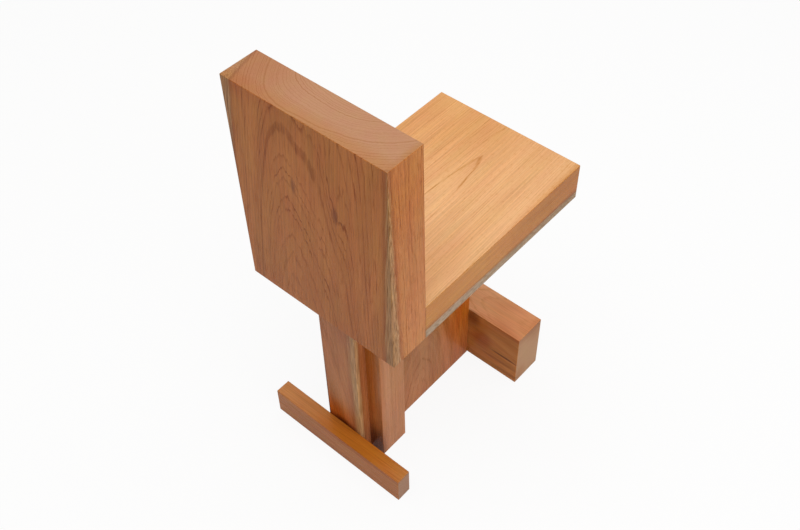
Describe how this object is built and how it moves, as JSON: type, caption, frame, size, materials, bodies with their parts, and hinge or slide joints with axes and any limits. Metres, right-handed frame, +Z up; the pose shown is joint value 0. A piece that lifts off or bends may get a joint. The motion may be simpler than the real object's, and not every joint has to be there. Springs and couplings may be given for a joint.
{
  "type": "wooden chair",
  "caption": "Armless slab chair in solid wood: thick seat and upright back on a central keel plank, with a side batten, a block foot in front and a slim bar foot behind.",
  "frame": {"origin": "on the floor under the middle of the chair's bounding box", "axes": "+Z up; the chair faces -Y, so the sitter's right hand is at -X"},
  "size_m": [0.308, 0.474, 0.8],
  "materials": {
    "back_wood": "oiled, satin",
    "seat_wood": "oiled, satin",
    "keel_wood": "oiled, satin",
    "batten_wood": "oiled, satin",
    "block_wood": "oiled, satin",
    "bar_wood": "oiled, satin",
    "tenon_wood": "planed, bare",
    "dowel_wood": "turned, bare"
  },
  "bodies": {
    "root": {"backrest": "back_wood", "seat": "seat_wood", "keel": "keel_wood", "side_batten": "batten_wood", "front_block": "block_wood", "rear_bar": "bar_wood", "back_seat_tenons": "tenon_wood", "seat_keel_tenons": "tenon_wood", "back_keel_tenon": "tenon_wood", "front_block_tenons": "tenon_wood", "rear_bar_dowels": "dowel_wood", "batten_dowels": "dowel_wood"}
  },
  "joints": []
}
